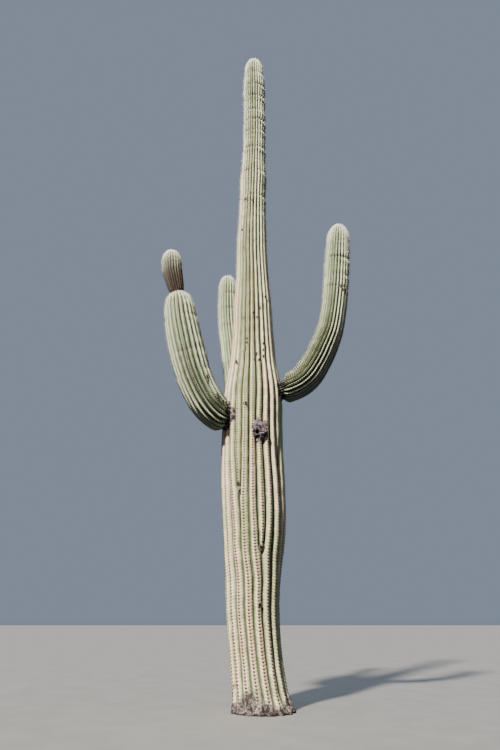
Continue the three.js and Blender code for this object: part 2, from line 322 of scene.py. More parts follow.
def rib_layout(limb):
    """The ribs at lengths along a limb: where each starts, its width, how far it shows and how full it is.

    A rib is born in the groove before another rib. It widens above that place, and its neighbours make room.
    """
    born_at = dict(limb.births)
    begins = []
    for rib in range(limb.ribs):
        begins += [born_at[rib], -math.inf] if rib in born_at else [-math.inf]
    begins = np.array(begins)
    total = len(begins)
    newborns = np.isfinite(begins)

    def laid_out(along):
        above = along[:, None] - begins
        settled = np.where(newborns, smooth_step(limb.opening, limb.opening + SETTLING, above), 1)
        grown = np.where(newborns, smooth_step(0, limb.opening, above), 1)
        share = grown * (FIRST_WIDTH + (1 - FIRST_WIDTH) * settled)
        held = share * (1 - settled) / FIRST_WIDTH
        for newborn in np.flatnonzero(newborns):
            for step, gives in enumerate(GIVES, 1):
                for other in (newborn - step, newborn + step):
                    share[:, other % total] *= 1 - gives * held[:, newborn]
        width = share / share.sum(1, keepdims=True) * TURN
        return np.cumsum(width, axis=1) - width, width, grown

    far_below = -1e6
    at_base = laid_out(np.array([far_below]))[0]

    def at(along):
        start, width, grown = laid_out(along)
        drift = (start - at_base).mean(1, keepdims=True)
        spots, seed = rib_spots(along[:, None], np.arange(total)), limb.rib_seed
        stray = layered(spots, [[1, 420, seed], [0.5, 150, seed + 1], [0.4, 60, seed + 2]])
        stray = grown * stray + (1 - grown) * np.roll(stray, -1, axis=1)
        twist = smooth_through(limb.twist)(along)
        turned = np.radians(limb.first_rib + twist)[:, None] - math.pi / limb.ribs
        start = start + turned - drift + stray * WANDER * TURN / total
        closed = width <= 0
        width = np.diff(np.c_[start, start[:, :1] + TURN], axis=1)
        width[closed] = 0
        shown = smooth_step(*SHOWS_AT, grown)
        return start, width, shown, smooth_step(0, FULL_WIDTH, width / (TURN / total))

    return at


def planar_frame(path, azimuth):
    """Section centres and axes of an arm whose axis lies in the upright plane at that azimuth."""
    path = np.array(path, float)
    lengths = np.r_[0, np.cumsum(np.hypot(*np.diff(path, axis=0).T))]
    out_at = smooth_through(np.c_[lengths, path[:, 0]])
    up_at = smooth_through(np.c_[lengths, path[:, 1]])
    a = math.radians(azimuth)
    out = np.array([math.cos(a), math.sin(a), 0])
    up = np.array([0, 0, 1.0])
    beside = np.cross(up, out)

    def point(along):
        return ARM_AXIS + out_at(along)[:, None] * out + up_at(along)[:, None] * up

    def frame_at(along):
        inside = np.clip(along, 1, lengths[-1] - 1)
        heading = normalized(point(inside + 1) - point(inside - 1))
        return point(along), np.cross(beside, heading), np.broadcast_to(beside, heading.shape)

    return frame_at, lengths[-1]


def trunk_frame(along):
    centre = np.stack([smooth_through(TRUNK.lean)(along), np.zeros_like(along), along], -1)
    return centre, np.broadcast_to([1.0, 0, 0], centre.shape), np.broadcast_to([0, 1.0, 0], centre.shape)


def ring_places(limb):
    """Rings spaced by the limb's table, then closer and closer over the dome."""
    shoulder = limb.end - limb.dome
    spacing = smooth_through(limb.ring_spacing)
    rings = [limb.start]
    while rings[-1] < shoulder:
        rings.append(rings[-1] + float(spacing(rings[-1])))
    even = np.array(rings) * (shoulder - limb.start) / (rings[-1] - limb.start)
    even += shoulder - even[-1]
    quarter = np.sin(LAST_SECTION * np.arange(1, DOME_RINGS + 1) / DOME_RINGS * math.pi / 2)
    return np.r_[even, shoulder + limb.dome * quarter]


def growth_joints(points, along, joints, seed):
    """Where a year's growth ends: how far the skin rises there, and how deep in the ring of the pinch it is,
    less the painted highlight on the ledge below.

    Below the ring the skin swells, and its ledge gets a painted highlight. Above it a stain fades out.
    """
    rise, pinched = np.zeros(along.shape), np.zeros(along.shape)
    for order, (joint, strength) in enumerate(joints):
        above = along - joint - JOINT.wander * noise(points, 90, seed + order)
        around = np.clip(0.85 + 0.8 * noise(points, 70, seed + 50 + order), 0.3, 1.3)
        pinch = around * bell(above, np.where(above < 0, 10, 30))
        dark = around * bell(above, np.where(above < 0, 13, 30))
        stain = np.where(above < 0, 0, JOINT.stain * around * np.exp(-above / JOINT.stain_height))
        swelling = around * bell(above + JOINT.swelling[0], JOINT.swelling[1])
        ledge_highlight = around * bell(above + JOINT.ledge_highlight[0], JOINT.ledge_highlight[1])
        rise += JOINT.depth * strength * (0.5 * swelling - pinch)
        pinched = np.maximum(pinched, min(1, 1.5 * strength) * np.maximum(dark, stain))
        # The ledge below the ring counts below 0: a painted highlight there
        pinched = pinched - min(1, 0.8 * strength) * ledge_highlight
    return rise, pinched


def flute(limb, along, width, shown, full):
    """For each column, how far it lies below its crest and how far it is from crest to groove, as shares.

    A newborn rib that doesn't show yet lends its room to the ribs beside it.
    """
    t = np.arange(limb.columns) / limb.columns

    def beside(values):
        return np.where(t > 0.5, np.roll(values, -1, 1)[:, :, None], np.roll(values, 1, 1)[:, :, None])

    own, half = np.abs(2 * t - 1), width[:, :, None] / 2
    lent, next_half = beside(width * (1 - shown) / 2), beside(width) / 2
    inner = own * half / np.maximum(half + lent, 1e-9)
    outer = (next_half + (1 - own) * half) / np.maximum(next_half + half, 1e-9)
    seen, strength = shown[:, :, None], full[:, :, None]
    sharpness = smooth_through(limb.sharpness)(along)[:, None, None]
    lift = seen * np.cos(inner * math.pi / 2) ** sharpness * strength
    lift = lift + (1 - seen) * np.cos(outer * math.pi / 2) ** sharpness
    return 1 - lift, seen * (1 - (1 - inner) * strength) + (1 - seen) * outer


def grow_skin(limb):
    """The fluted skin of a limb as a grid of points, with what its material and its areoles need to know."""
    along = ring_places(limb)
    centre, across, beside = limb.frame_at(along)
    start, width, shown, full = limb.ribs_at(along)
    rng = np.random.default_rng(limb.seed)
    stagger = STAGGER * rng.uniform(-1, 1, width.shape[1]) - SLANT * np.cos(start + width / 2)
    stagger = stagger * (limb.neck > 0) * smooth_step(*STAGGER_FADES, along)[:, None]
    climb = np.clip((along - (limb.end - limb.dome)) / limb.dome, 0, 1)[:, None]
    closing = np.sqrt(1 - climb**2)
    radius = smooth_through(limb.radii)(along[:, None] - stagger) * closing
    depth = np.minimum(smooth_through(limb.groove)(along)[:, None], DEEPEST_GROOVE * radius)
    depth = depth * (1 - FLATTER_DOME * climb)
    fall, valley = flute(limb, along, width, shown, full)
    angle = start[:, :, None] + width[:, :, None] * (np.arange(limb.columns) / limb.columns)
    out = across[:, None, None] * np.cos(angle)[..., None] + beside[:, None, None] * np.sin(angle)[..., None]
    bare = centre[:, None, None] + out * (radius[:, :, None] - depth[:, :, None] * fall)[..., None]
    far = np.broadcast_to(along[:, None, None], fall.shape)
    level = far - stagger[:, :, None]
    cork = np.clip(limb.cork(limb, bare, out, level), 0, 1)
    step, pinched = growth_joints(bare, far, limb.joints, limb.seed)
    rise = limb.relief(limb, bare, level, fall, cork) + step
    points = bare + out * (rise * closing[:, :, None])[..., None]

    # How many areoles stand on each crest below each ring
    steps = np.linalg.norm(np.diff(points[:, :, limb.columns // 2], axis=0), axis=-1)
    spacing = smooth_through(limb.areole_spacing)(along)
    passed = np.cumsum(steps / ((spacing[1:] + spacing[:-1]) / 2)[:, None], axis=0)
    count = np.r_[np.zeros((1, steps.shape[1])), passed] + rng.uniform(0, 1, steps.shape[1])
    return SimpleNamespace(
        limb=limb, along=along, points=points, out=out, count=count, valley=valley, cork=cork, far=far,
        closed=width <= 0,
        full=full * shown,
        # dark joint rings, and below 0 the painted highlight on the ledges
        pinched=np.clip(pinched * (0.55 + fall) * 1.3, -1, 1),
        blush=pixel_spots(points, out, limb.blush_spots),
        tint=noise(rib_spots(far, np.arange(width.shape[1])[:, None]), 700, limb.seed + 7),
        phase=np.broadcast_to(count[:, :, None], fall.shape),
        young=np.broadcast_to(smooth_through(limb.young)(along)[:, None, None], fall.shape),
    )


def ring_quads(numbers):
    """Quads between each ring of point numbers and the next."""
    low, high = numbers[:-1], numbers[1:]
    return np.stack([low, np.roll(low, -1, 1), np.roll(high, -1, 1), high], -1).reshape(-1, 4)


def skin_faces(skin):
    """Corners and UVs of the skin's faces. The columns of a rib that isn't born yet are one column."""
    rings, ribs, columns = skin.valley.shape
    around = ribs * columns
    number = np.arange(rings * around).reshape(rings, ribs, columns)
    for rib in [*reversed(range(ribs)), ribs - 1]:
        shut = skin.closed[:, rib]
        number[shut, rib] = number[shut, (rib + 1) % ribs, 0][:, None]
    number = number.reshape(rings, around)
    i, j = np.meshgrid(np.arange(rings - 1), np.arange(around), indexing="ij")
    u = np.stack([j, j + 1, j + 1, j], -1).reshape(-1, 4) / around
    v = (np.stack([i, i, i + 1, i + 1], -1).reshape(-1, 4) + 1) / (rings + 1)
    corners, places = ring_quads(number).tolist(), np.stack([u, v], -1).tolist()
    foot, tip = rings * around, rings * around + 1
    low, high = 1 / (rings + 1), rings / (rings + 1)
    for j in range(around):
        k = (j + 1) % around
        left, middle, right = j / around, (j + 0.5) / around, (j + 1) / around
        corners += [(foot, number[0, k], number[0, j]), (number[-1, j], number[-1, k], tip)]
        places += [[(middle, 0), (right, low), (left, low)], [(left, high), (right, high), (middle, 1)]]
    faces, uvs = [], []
    for face, place in zip(corners, places):
        kept = [n for n in range(len(face)) if face[n] != face[n - 1]]
        if len(kept) > 2:
            faces.append([face[n] for n in kept])
            uvs += [place[n] for n in kept]
    return faces, uvs


def mesh_piece(name, points, faces, materials, face_materials=None, uvs=None, attributes=None):
    """A mesh object from points in millimetres, which rides on the plant's one body."""
    mesh = bpy.data.meshes.new(name)
    mesh.from_pydata((np.asarray(points).reshape(-1, 3) * MM).tolist(), [], faces)
    for material in materials:
        mesh.materials.append(material)
    if face_materials is not None:
        mesh.polygons.foreach_set("material_index", np.asarray(face_materials, np.int32))
    if uvs is not None:
        layer = mesh.uv_layers.new(name="OFBake")
        layer.data.foreach_set("uv", np.asarray(uvs, np.float32).ravel())
    for key, values in (attributes or {}).items():
        layer = mesh.attributes.new(key, "FLOAT", "POINT")
        layer.data.foreach_set("value", np.asarray(values, np.float32).ravel())
    mesh.polygons.foreach_set("use_smooth", np.ones(len(mesh.polygons), bool))
    mesh.update()
    piece = bpy.data.objects.new(name, mesh)
    PLANT.objects.link(piece)
    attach(piece, "root")
    return piece


def skin_piece(skin, material):
    """The skin's mesh with only the points that a face uses."""
    limb = skin.limb
    faces, uvs = skin_faces(skin)
    ends = limb.frame_at(np.array([limb.start, limb.end], float))[0]
    points = np.r_[skin.points.reshape(-1, 3), ends]
    used = np.zeros(len(points), bool)
    for face in faces:
        used[face] = True
    number = (np.cumsum(used) - 1).tolist()
    faces = [[number[corner] for corner in face] for face in faces]
    attributes = {}
    for key in ("valley", "cork", "pinched", "blush", "tint", "phase", "young", "far"):
        values = getattr(skin, key)
        attributes[key] = np.r_[values.ravel(), values[0].mean(), values[-1].mean()][used]
    attributes["far"] = attributes["far"] * MM
    name = f"{limb.name}_skin"
    return mesh_piece(name, points[used], faces, [material], uvs=uvs, attributes=attributes)


# Areoles and spines


def plant_areoles(skin, keep_clear=()):
    """Where the areoles stand on the crests, with the outward, upward and sideways directions there."""
    crest = skin.limb.columns // 2
    rng = np.random.default_rng(skin.limb.seed + 300)
    rings = np.arange(len(skin.along))
    between = np.linalg.norm(np.diff(skin.points[:, :, crest], axis=1), axis=-1).mean(1)
    hidden = np.maximum(skin.cork, skin.pinched)[:, :, crest]
    shoulder = skin.limb.end - skin.limb.dome
    tip = smooth_step(*TIP_ZONE, skin.along - shoulder)
    found = []
    for rib in range(skin.count.shape[1]):
        count = skin.count[:, rib]
        ring = np.interp(np.arange(math.ceil(count[0]), count[-1]), count, rings)
        full = np.interp(ring, rings, skin.full[:, rib])
        room = np.interp(ring, rings, between) / CROWDED
        ring = ring[(full > AREOLES_FROM) & (rng.uniform(0, 1, len(ring)) < room)]
        low = np.minimum(ring.astype(int), len(rings) - 2)
        share = (ring - low)[:, None]
        line = skin.points[:, rib, crest]
        up = normalized(line[low + 1] - line[low])
        side = normalized(np.cross(up, skin.out[low, rib, crest]))
        found.append({
            "place": line[low] * (1 - share) + line[low + 1] * share,
            "out": np.cross(side, up),
            "up": up,
            "side": side,
            "young": np.interp(ring, rings, skin.young[:, 0, 0]),
            "tip": np.interp(ring, rings, tip),
            "hidden": np.interp(ring, rings, hidden[:, rib]),
        })
    areoles = SimpleNamespace(**{key: np.concatenate([part[key] for part in found]) for key in found[0]})
    fits = areoles.hidden < 0.5
    for spot, reach in keep_clear:
        fits &= np.linalg.norm(areoles.place - spot, axis=1) > reach
    return pick(areoles, fits)


def pick(areoles, chosen):
    return SimpleNamespace(**{key: values[chosen] for key, values in vars(areoles).items()})


def copies(faces, points, count):
    """The faces of that many copies of a small mesh, which has that many points."""
    return (np.array(faces) + points * np.arange(count)[:, None, None]).reshape(-1, len(faces[0])).tolist()


def felt_pads(name, areoles, materials, size_of, seed):
    """Low domes of felt: broad and dark on old ribs, narrower on young ones, and pale round the tip."""
    rng = np.random.default_rng(seed)
    sides = 5
    ring = np.c_[circle(sides)]
    top, shoulder, foot = 2.8, 2.1, -1.4  # heights over the crest
    middle = np.c_[ring * 0.6, np.full(sides, shoulder)]
    shape = np.r_[[[0, 0, top]], middle, np.c_[ring, np.full(sides, foot)]]
    size = rng.uniform(0.85, 1.2, (len(areoles.place), 1, 1))
    half_tall, half_wide = (old + (fresh - old) * areoles.young[:, None, None] for old, fresh in size_of)
    sizes = ((half_tall, areoles.up), (half_wide, areoles.side), (1, areoles.out))
    offsets = (size * half * shape[:, n : n + 1] * axis[:, None] for n, (half, axis) in enumerate(sizes))
    points = sum(offsets, areoles.place[:, None])
    faces = []
    for n in range(sides):
        m = (n + 1) % sides
        faces += [(0, 1 + m, 1 + n), (1 + n, 1 + m, 1 + sides + m), (1 + n, 1 + sides + m, 1 + sides + n)]
    age = areoles.young + rng.normal(0, 0.12, len(areoles.place))
    tint = np.minimum(np.where(areoles.tip > 0.5, 2, np.where(age > 0.5, 1, 0)), len(materials) - 1)
    faces = copies(faces, len(shape), len(areoles.place))
    return mesh_piece(name, points, faces, materials, np.repeat(tint, 3 * sides))


def aged(numbers, young, tip):
    """What a row of the spines' numbers comes to on a rib of that age and that near the tip."""
    old, on_young, at_tip = numbers
    return old + on_young * young + at_tip * tip


def spine_tuft(name, areoles, materials, rust, seed):
    """Spines of every areole: radial ones that lie low and a few central ones that stand up.

    Old areoles keep a few short dark spines. Young ones have many long straw ones, palest round the tip.
    """
    rng = np.random.default_rng(seed)
    young, tip, total = areoles.young, areoles.tip, len(areoles.place)
    radial = aged(RADIAL_SPINES, young, tip) + rng.uniform(-1, 1, total)
    central = aged(CENTRAL_SPINES, young, tip) + rng.uniform(-0.8, 0.8, total)
    radial, central = (np.round(number).clip(0).astype(int) for number in (radial, central))
    owner = np.r_[np.repeat(np.arange(total), radial), np.repeat(np.arange(total), central)]
    standing = np.arange(len(owner)) >= radial.sum()
    young, tip, count = young[owner], tip[owner], len(owner)
    around = rng.uniform(0, TURN, count)
    upright = rng.uniform(STANDING_LEAN[0], STANDING_LEAN[1] + TIP_LEAN * tip, count)
    lean = np.radians(np.where(standing, upright, rng.uniform(*LOW_LEAN, count)))
    longest = aged(LONGEST_SPINE, young, tip)
    length = rng.uniform(0.65, 1.2, count) * longest * np.where(standing, 1, 0.74 - 0.3 * young)
    thick = 1.0 - 0.3 * young
    out, up, side = areoles.out[owner], areoles.up[owner], areoles.side[owner]
    flat = np.cos(around)[:, None] * up + np.sin(around)[:, None] * side
    heading = np.cos(lean)[:, None] * out + np.sin(lean)[:, None] * flat
    root = areoles.place[owner] + flat * rng.uniform(0.5, 3, (count, 1)) + out * 0.8
    first = normalized(np.cross(heading, out + 0.3 * up))
    second = np.cross(heading, first)
    ring = [first * math.cos(a) + second * math.sin(a) for a in (0, TURN / 3, 2 * TURN / 3)]
    points = np.stack([root + thick[:, None] * r for r in ring] + [root + heading * length[:, None]], 1)
    faces = copies([(0, 1, 3), (1, 2, 3), (2, 0, 3)], 4, count)
    straw = aged(STRAW_SHARE, young, tip)
    draw = rng.uniform(0, 1, count)
    tint = np.where(draw < straw, 0, np.where(draw < straw + GREY_SHARE, 1, 2))
    tint[rng.uniform(0, 1, count) < rust * (1 - young)] = 3
    return mesh_piece(name, points, faces, materials, np.repeat(tint, 3))


# Small holes and the old wound


def project(points):
    """Where points in millimetres show in the photograph, and how far ahead of the camera they are."""
    ahead = np.array([0, math.cos(TILT), math.sin(TILT)])
    above = np.array([0, -math.sin(TILT), math.cos(TILT)])
    offset = points * MM - CAMERA_PLACE
    depth = offset @ ahead
    x = PHOTO_WIDTH / 2 + FOCAL_PIXELS * offset[..., 0] / depth
    y = PHOTO_HEIGHT / 2 - FOCAL_PIXELS * (offset @ above) / depth
    return x, y, depth


def seen_at(skin, x, y):
    """The point nearest the camera, on a rib and not in a groove, that shows at a pixel of the photograph."""
    on_rib = skin.valley.ravel() < 0.5
    points, out = skin.points.reshape(-1, 3)[on_rib], skin.out.reshape(-1, 3)[on_rib]
    px, py, depth = project(points)
    off = np.hypot(px - x, py - y)
    near = off < max(1.5, off.min() + 0.5)
    best = np.flatnonzero(near)[depth[near].argmin()]
    return points[best], out[best]


def callused_holes(skin, materials, seed):
    """Raised lips of callus round small pits painted near-black for the shade in them, each on the skin where
    the photograph shows it.
    """
    sides, lip_bands = 16, 2
    tall, torn = 1.25, 0.34  # how much taller than wide a hole is, and how uneven its lip is
    # The crater's profile from its sunk rim to its floor: [share of the radius, height over the skin]
    profile = [[1.5, -3], [1.2, 1.4], [0.98, 3.2], [0.86, 2.8], [0.7, 1.2], [0.3, 0.8]]
    total = len(profile) * sides
    cosines, sines = circle(sides)
    points, faces, inside = [], [], []
    for order, (x, y, radius) in enumerate(skin.limb.holes):
        middle, out = seen_at(skin, x, y)
        side = normalized(np.cross([0, 0, 1.0], out))
        up = np.cross(out, side)
        ragged = 1 + torn * noise(np.c_[cosines, sines, np.full(sides, 7.0 * order)], 0.8, seed)
        spread = cosines[:, None] * side + tall * sines[:, None] * up
        for reach, height in profile:
            points.append(middle + reach * radius * ragged[:, None] * spread + height * out)
        points.append((middle + profile[-1][1] * out)[None])
        base = order * (total + 1)
        numbers = base + np.arange(total).reshape(-1, sides)
        last = numbers[-1].tolist()
        faces += ring_quads(numbers).tolist()
        faces += [(last[n - sides], last[n + 1 - sides], base + total) for n in range(sides)]
        # The crater's floor takes the near-black second material, painted shade for the hole
        inside += [0] * (lip_bands * sides) + [1] * (total - lip_bands * sides)
    name = f"{skin.limb.name}_holes"
    return mesh_piece(name, np.concatenate(points), faces, materials, inside)


def scar_frame():
    """The middle of the old wound on the trunk's surface, and its sideways, outward and upward directions."""
    a = math.radians(SCAR.azimuth)
    out = np.array([math.cos(a), math.sin(a), 0])
    side = np.array([-math.sin(a), math.cos(a), 0])
    radius = smooth_through(TRUNK.radii)(SCAR.height)
    middle = np.array([smooth_through(TRUNK.lean)(SCAR.height), 0, SCAR.height]) + out * radius
    return middle, side, out, np.array([0, 0, 1.0])


def old_wound(material):
    """A gnarled lump of dead tissue with folds and sunk holes, narrower at its top, with painted shade in the
    folds' hollows and the holes.
    """
    around, tall = 128, 80
    middle, side, out, up = scar_frame()
    depth = (SCAR.proud + SCAR.sunk) / 2
    cosines, sines = circle(around)
    fall = np.linspace(0.02, math.pi - 0.02, tall)[:, None]
    raised = np.broadcast_to(np.cos(fall), (tall, around))
    sphere = np.stack([np.sin(fall) * cosines, np.sin(fall) * sines, raised], -1)
    spread = sphere * [depth, SCAR.width / 2 - 5, SCAR.tall / 2 - 8]
    waist = 1 - 0.42 * smooth_step(0.1, 1.0, raised)
    torn = 1 + 0.16 * noise(spread, 34, 75) + 0.08 * noise(spread, 15, 76)
    folds = 20 * (ridged(spread * [1, 1, 0.75], 34, 71) - 0.6)
    folds = folds + 7 * noise(spread, 16, 73) + 3 * noise(spread, 7, 74)
    local = spread * np.stack([np.ones_like(waist), waist * torn, torn], -1)
    local[..., 1] -= 22 * raised
    local += sphere * folds[..., None] * 0.55
    local[..., 0] += 0.5 * folds * (sphere[..., 0] > 0)
    shade = np.zeros_like(raised)
    for hole_side, hole_up, radius in SCAR_HOLES:
        off = np.hypot(local[..., 1] - hole_side, (local[..., 2] - hole_up) / 1.2) / radius
        inside = np.exp(-(off**4)) * (sphere[..., 0] > 0)
        local[..., 0] -= 2.2 * radius * inside
        shade = np.maximum(shade, inside)
    origin = middle + out * (SCAR.proud - depth)
    points = origin + local[..., 0:1] * out + local[..., 1:2] * side + local[..., 2:3] * up
    index = np.arange(tall * around).reshape(tall, around)
    faces = ring_quads(index)[:, ::-1].tolist()
    first, last = index[0].tolist(), index[-1].tolist()
    top, bottom = tall * around, tall * around + 1
    for n in range(around):
        m = (n + 1) % around
        faces += [(first[n], first[m], top), (last[m], last[n], bottom)]
    # How deep a point lies in a fold, for painted shade there
    fold_shade_share = np.clip(0.5 - folds / 22, 0, 1)
    attributes = {"hole": np.r_[shade.ravel(), 0, 0], "fold": np.r_[fold_shade_share.ravel(), 0.5, 0.5]}
    points = np.r_[points.reshape(-1, 3), [points[0].mean(0), points[-1].mean(0)]]
    piece = mesh_piece("old_wound", points, faces, [material], attributes=attributes)
    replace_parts(piece, "trunk_scar")
    return piece


# Materials


def linear(colour):
    """A 0xRRGGBB sRGB colour as linear RGBA."""
    parts = [(colour >> shift & 255) / 255 for shift in (16, 8, 0)]
    return [c / 12.92 if c <= 0.04045 else ((c + 0.055) / 1.055) ** 2.4 for c in parts] + [1.0]


def feed(tree, node, inputs):
    """Links or sets the inputs of a node."""
    for key, value in inputs.items():
        if isinstance(value, bpy.types.NodeSocket):
            tree.links.new(value, node.inputs[key])
        else:
            node.inputs[key].default_value = value


def add_node(tree, kind, inputs, **settings):
    """Adds a shader node and gives its outputs."""
    node = tree.nodes.new("ShaderNode" + kind)
    for key, value in settings.items():
        setattr(node, key, value)
    feed(tree, node, inputs)
    return node.outputs


class Shader:
    """A node material with short calls for the nodes that this plant's materials use."""

    def __init__(self, name):
        self.material = bpy.data.materials.new(name)
        self.material.use_nodes = True
        self.tree = self.material.node_tree

    def add(self, kind, inputs, **settings):
        return add_node(self.tree, kind, inputs, **settings)

    def attribute(self, name):
        return self.add("Attribute", {}, attribute_name=name)["Fac"]

    def math(self, operation, a, b=0.0):
        return self.add("Math", {0: a, 1: b}, operation=operation)[0]

    def plus(self, a, b):
        return self.math("ADD", a, b)

    def times(self, a, b):
        return self.math("MULTIPLY", a, b)

    def ramp(self, value, low, high, start=0.0, end=1.0):
        inputs = {"Value": value, "From Min": low, "From Max": high, "To Min": start, "To Max": end}
        return self.add("MapRange", inputs, interpolation_type="SMOOTHSTEP")["Result"]

    def mix(self, share, a, b, kind="MIX"):
        inputs = {"Fac": share, "Color1": a, "Color2": b}
        return self.add("MixRGB", inputs, blend_type=kind)["Color"]

    def place(self):
        return self.add("TexCoord", {})["Object"]

    def stretched(self, z):
        """Places for noise that is drawn out upwards."""
        inputs = {0: self.place(), 1: (1.0, 1.0, z)}
        return self.add("VectorMath", inputs, operation="MULTIPLY")["Vector"]

    def noise(self, scale, detail=3.0, vector=None, roughness=0.55):
        inputs = {"Vector": vector or self.place(), "Scale": scale, "Detail": detail, "Roughness": roughness}
        return self.add("TexNoise", inputs)["Fac"]

    def uneven(self, scale, amount):
        """Noise round 0 that spans about that amount."""
        return self.times(self.math("SUBTRACT", self.noise(scale, 4), 0.5), amount)

    def shaded(self, colour, value, dark, light):
        """The colour times a grey that runs from dark to light with the value."""
        grey = self.ramp(value, 0.25, 0.75, dark, light)
        grey = self.add("CombineColor", {"Red": grey, "Green": grey, "Blue": grey})
        return self.mix(1.0, colour, grey["Color"], "MULTIPLY")

    def finish(self, colour, roughness, height=None, distance=0.003, specular=0.3):
        inputs = {"Base Color": colour, "Roughness": roughness, "Specular IOR Level": specular}
        if height is not None:
            bump = self.add("Bump", {"Height": height, "Strength": 1.0, "Distance": distance})
            inputs["Normal"] = bump["Normal"]
        feed(self.tree, self.tree.nodes["Principled BSDF"], inputs)
        return self.material


def skin_material(name, tones, groove_shade_edge, painted_shade_reach=0.0):
    """Waxy skin: tan stripes under the areoles, pale flanks, grooves that are partly darker green and partly
    painted shade, growth bands and cork.

    The groove's tone, partly the skin's own darker green and partly painted shade, fades in between the two
    shares of the way from crest to groove in groove_shade_edge.
    On old skin the pale flank is narrower by the share of that way in painted_shade_reach, as the slope's and
    the groove's tones reach further up it as painted shade.
    """
    s = Shader(name)
    young, valley, pinched = (s.attribute(key) for key in ("young", "valley", "pinched"))

    def tone(part):
        return s.mix(young, *map(linear, tones[part]))

    # On old skin the darker tones start sooner: painted shade on the ribs' lower flanks
    place = s.plus(s.plus(valley, s.uneven(11, 0.3)), s.ramp(young, 0.5, 0.1, 0.0, painted_shade_reach))
    greener = s.plus(s.noise(2.3), s.times(s.attribute("tint"), 0.46))
    flank = s.mix(s.ramp(greener, 0.42, 0.68, 0.0, 0.9), tone("flank"), tone("blotch"))
    flank = s.mix(s.ramp(greener, 0.46, 0.2, 0.0, 0.6), flank, tone("blush"))
    flank = s.mix(s.times(s.attribute("blush"), 0.9), flank, linear(tones["blush"][0]))
    skin = s.mix(s.ramp(valley, 0.34, 0.14, 0.0, 0.85), flank, tone("stripe"))
    # The slope and groove tones darken the lower flanks and the grooves: partly the skin's own darker green,
    # partly painted shade in the deep grooves
    skin = s.mix(s.ramp(place, 0.36, 0.66), skin, tone("slope"))
    skin = s.mix(s.ramp(place, *groove_shade_edge), skin, tone("groove"))

    # Growth bands run across the limb, and faint streaks run along it
    split = s.add("SeparateXYZ", {"Vector": s.place()})
    x, y = (s.times(split[axis], 1.6) for axis in "XY")
    spots = {"X": s.times(s.attribute("far"), 16.0), "Y": x, "Z": y}
    across_limb = s.add("CombineXYZ", spots)["Vector"]
    skin = s.shaded(skin, s.noise(1.0, vector=across_limb), 0.84, 1.08)
    skin = s.shaded(skin, s.noise(26, 4), 0.85, 1.08)
    skin = s.shaded(skin, s.noise(120, 4), 0.82, 1.12)
    skin = s.shaded(skin, s.noise(90, vector=s.stretched(0.12)), 0.9, 1.07)

    # Each rib swells between its areoles, and the skin is darker round each one; the crease across it gets
    # painted shade in the slope's tone
    turn = s.math("COSINE", s.times(s.attribute("phase"), TURN))
    across_rib = s.ramp(valley, 0.95, 0.5)
    crease_shade = s.times(s.ramp(turn, 0.55, 1.0), across_rib)
    skin = s.mix(s.times(crease_shade, 0.32), skin, tone("slope"))
    beside_areole = s.times(s.ramp(turn, 0.0, 0.7), s.ramp(valley, 0.36, 0.14))
    skin = s.mix(s.times(beside_areole, 0.9), skin, tone("ring"))

    # Joints, with a painted highlight on their ledges, then small dry scabs and specks
    skin = s.mix(s.times(s.ramp(pinched, 0.2, 0.9), 0.85), skin, tone("joint"))
    # Painted highlight on the ledge below each joint
    skin = s.mix(s.ramp(pinched, -0.1, -0.7, 0.0, 0.8), skin, linear(LEDGE_HIGHLIGHT))
    skin = s.mix(s.ramp(s.noise(38, 2, s.stretched(0.4)), 0.69, 0.75, 0.0, 0.75), skin, tone("ring"))
    skin = s.mix(s.ramp(s.noise(150, 1), 0.7, 0.76, 0.0, 0.5), skin, tone("ring"))

    # Cork
    bark = s.noise(34, 6, roughness=0.7)
    cork_colour = s.mix(s.ramp(bark, 0.42, 0.66), *map(linear, tones["cork"]))
    cracks = s.add("TexVoronoi", {"Vector": s.place(), "Scale": 42.0}, feature="DISTANCE_TO_EDGE")
    crack = s.ramp(cracks["Distance"], 0.0, 0.12)
    cork_colour = s.mix(s.ramp(crack, 0.6, 0.0, 0.0, 0.6), cork_colour, linear(CRACK))
    corky = s.ramp(s.plus(s.attribute("cork"), s.uneven(30, 0.6)), 0.3, 0.62)
    skin = s.mix(corky, skin, cork_colour)

    fine = s.times(s.noise(160, 4, roughness=0.65), 0.45)
    beads = s.times(s.times(turn, across_rib), -0.3)
    rough = s.times(corky, s.plus(s.times(crack, 0.5), bark))
    height = s.plus(s.plus(fine, beads), s.times(rough, 1.6))
    roughness = s.plus(s.ramp(s.noise(14), 0.2, 0.8, 0.56, 0.74), s.times(corky, 0.2))
    return s.finish(skin, roughness, height)


def wound_material():
    s = Shader("wound_cork")
    bark = s.noise(55, 6, roughness=0.7)
    colour = s.mix(s.ramp(bark, 0.35, 0.68), linear(WOUND.dark), linear(WOUND.light))
    # Painted shade in the hollows of the folds, and near-black painted shade in the holes
    colour = s.mix(s.ramp(s.attribute("fold"), 0.35, 0.8), colour, linear(WOUND.fold))
    colour = s.mix(s.ramp(s.attribute("hole"), 0.25, 0.7), colour, linear(WOUND.hole))
    height = s.plus(s.times(s.noise(120, 5), 0.6), bark)
    return s.finish(colour, s.ramp(bark, 0.2, 0.8, 0.8, 0.97), height, distance=0.006)


def plain_grain(name, dark, light, scale, roughness, specular=0.3):
    """A fine-grained material between two near tones."""
    s = Shader(name)
    grain = s.noise(scale, 4)
    colour = s.mix(s.ramp(grain, 0.3, 0.7), linear(dark), linear(light))
    roughness = s.ramp(grain, 0.2, 0.8, roughness - 0.08, roughness + 0.08)
    return s.finish(colour, roughness, grain, 0.0006, specular)


def plain_colour(name, colour, roughness):
    return Shader(name).finish(linear(colour), roughness, specular=0.35)


